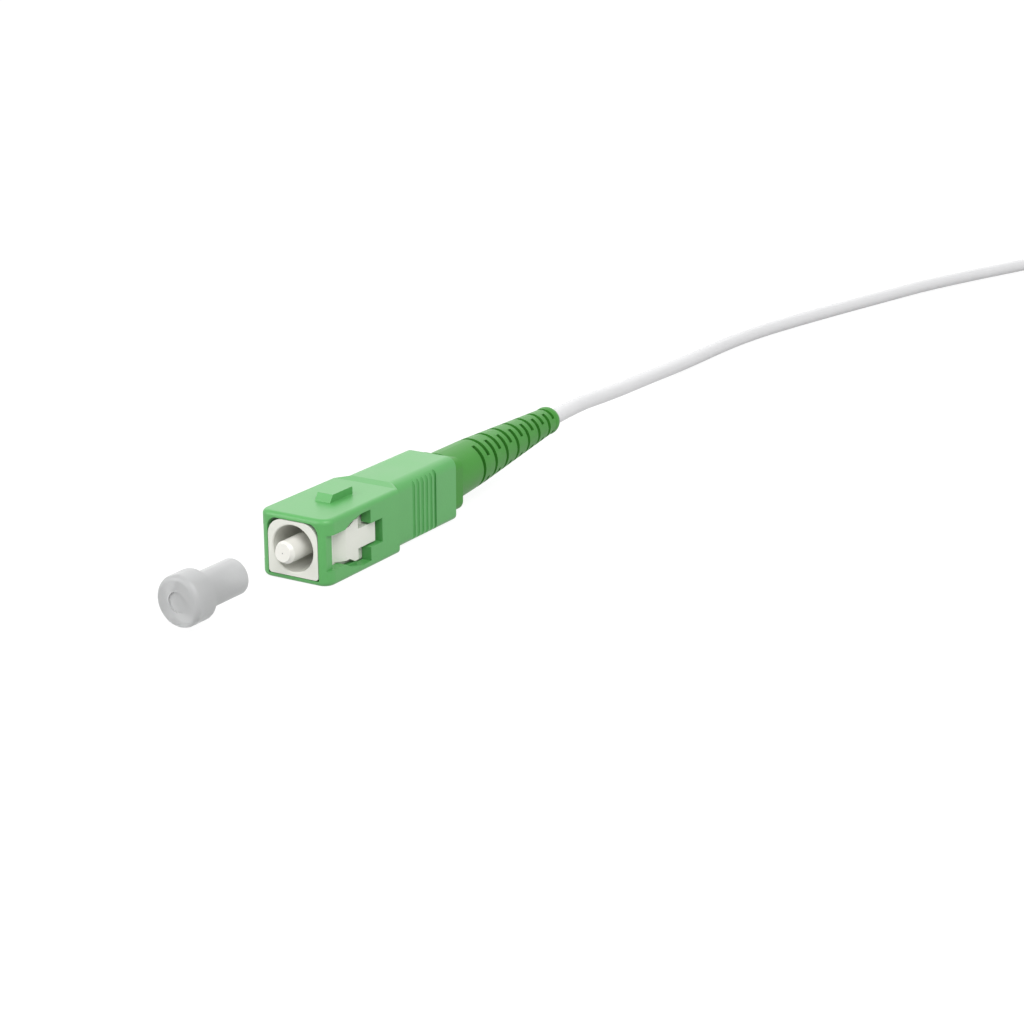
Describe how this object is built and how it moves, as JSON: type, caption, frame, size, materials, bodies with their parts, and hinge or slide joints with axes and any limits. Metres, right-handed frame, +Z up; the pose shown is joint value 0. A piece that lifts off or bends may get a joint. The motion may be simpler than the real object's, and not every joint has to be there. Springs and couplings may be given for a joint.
{
  "type": "sc fibre connector",
  "caption": "Push-pull optical connector with an angled-polish ferrule, sliding keyed housing, ribbed strain relief, loose dust cap and a thin simplex cord.",
  "frame": {"origin": "on the ferrule axis, in the plane of the plug frame's front face", "axes": "+X is the mating direction, out of the ferrule's tip; +Z is up, the side with the key; the cord leaves towards -X"},
  "size_m": [0.2775, 0.0369, 0.0102],
  "materials": {
    "housing_green": "smooth moulded PBT, soft sheen",
    "frame_white": "moulded, satin",
    "zirconia": "polished",
    "glass_fibre": "clear",
    "stainless": "turned",
    "lining": "waxy fluoropolymer tube",
    "spring_wire": "drawn wire",
    "nickel_brass": "nickel plated, satin",
    "aramid": "yellow yarn",
    "boot_green": "soft moulded, satin",
    "cap_clear": "translucent, smooth",
    "cord_white": "satin low-smoke jacket",
    "buffer_white": "smooth",
    "coating": "clear coat",
    "tie": "woven strap"
  },
  "bodies": {
    "plug": {"plug_frame": "frame_white", "backbone": "nickel_brass", "aramid_yarn": "aramid", "crimp_ring": "nickel_brass", "fibre_buffer": "buffer_white", "boot": "boot_green", "spring": "spring_wire", "cable_jacket": "cord_white", "cable_coil": "cord_white", "coil_ties": "tie", "cord_tail": "cord_white", "tail_buffer": "buffer_white", "tail_fibre": "coating"},
    "grip": {"grip_housing": "housing_green"},
    "ferrule_assembly": {"ferrule": "zirconia", "optical_fibre": "glass_fibre", "ferrule_flange": "stainless", "guide_tube": "lining"},
    "cap": {"dust_cap": "cap_clear"}
  },
  "joints": [
    {"name": "grip_slide", "type": "slide", "parent": "plug", "child": "grip", "axis": [1, 0, 0], "range_m": [-0.0014, 0.0006]},
    {"name": "ferrule_float", "type": "slide", "parent": "plug", "child": "ferrule_assembly", "axis": [1, 0, 0], "range_m": [-0.0016, 0], "stiffness_N_per_m": 2500, "springref_m": 0.0024, "deforming": ["spring"]},
    {"name": "cap_slide", "type": "slide", "parent": "plug", "child": "cap", "axis": [1, 0, 0], "range_m": [-0.0146, 0.03]}
  ]
}
